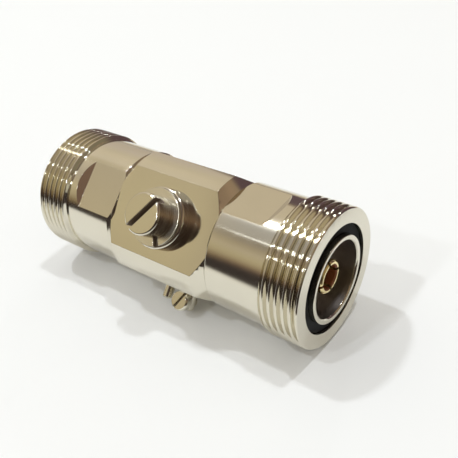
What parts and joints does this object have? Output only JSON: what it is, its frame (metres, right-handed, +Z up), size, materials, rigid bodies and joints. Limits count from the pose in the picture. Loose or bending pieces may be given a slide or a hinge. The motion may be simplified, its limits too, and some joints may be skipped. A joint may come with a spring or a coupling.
{
  "type": "coax lightning arrestor",
  "caption": "In-line coaxial lightning arrestor with threaded socket connectors at both ends, a flatted centre block, a slotted cap over a replaceable gas tube and an earth terminal.",
  "frame": {"origin": "middle of the near connector's mating face, on the line's axis", "axes": "+X along the line's axis and out of the near connector, +Z up with the arrestor lying on a table, -Y towards the side with the cap and the earth terminal"},
  "size_m": [0.0708, 0.033, 0.0307],
  "materials": {
    "nickel_plate": "bright nickel plate on brass",
    "gold_plate": "gold plate",
    "silver_plate": "silver plate on brass",
    "white_insulator": "turned fluoropolymer",
    "black_rubber": "moulded silicone rubber",
    "white_ceramic": "glazed ceramic",
    "electrode_metal": "tinned",
    "spring_steel": "nickel plated spring steel"
  },
  "bodies": {
    "housing": {"near_connector_shell": "nickel_plate", "near_groove_gasket": "black_rubber", "near_insulator_bead": "white_insulator", "near_spacer_sleeve": "nickel_plate", "near_socket_contact": "gold_plate", "near_joint_seal": "black_rubber", "far_connector_shell": "nickel_plate", "far_groove_gasket": "black_rubber", "far_insulator_bead": "white_insulator", "far_spacer_sleeve": "nickel_plate", "far_socket_contact": "gold_plate", "far_joint_seal": "black_rubber", "centre_block": "nickel_plate", "inner_conductor": "silver_plate", "gas_tube_line_electrode": "electrode_metal", "gas_tube_cap_electrode": "electrode_metal", "gas_tube_ceramic": "white_ceramic", "port_bushing": "nickel_plate", "earth_post": "nickel_plate", "locating_pin": "nickel_plate"},
    "cap_lift": {"cap_spring_washer": "spring_steel", "contact_spring": "spring_steel"},
    "cap": {"cap_screw": "nickel_plate"},
    "earth_lift": {"earth_spring_washer": "spring_steel"},
    "earth_clamp": {"earth_screw": "nickel_plate"}
  },
  "joints": [
    {"name": "cap_travel", "type": "slide", "parent": "housing", "child": "cap_lift", "axis": [0, -0.7771, 0.6293], "range_m": [0, 0.004]},
    {"name": "cap_turn", "type": "hinge", "parent": "cap_lift", "child": "cap", "pos_m": [-0.0344, -0.01212, 0.00982], "axis": [0, -0.7771, 0.6293], "range_deg": [0, 1441]},
    {"name": "earth_travel", "type": "slide", "parent": "housing", "child": "earth_lift", "axis": [0, -0.7771, 0.6293], "range_m": [0, 0.002]},
    {"name": "earth_turn", "type": "hinge", "parent": "earth_lift", "child": "earth_clamp", "pos_m": [-0.0306, -0.01142, -0.01108], "axis": [0, -0.7771, 0.6293], "range_deg": [0, 1801]}
  ],
  "couplings": [
    {"joint": "cap_turn", "follows": "cap_travel", "rad_per_m": 6283.2},
    {"joint": "earth_turn", "follows": "earth_travel", "rad_per_m": 15708}
  ]
}
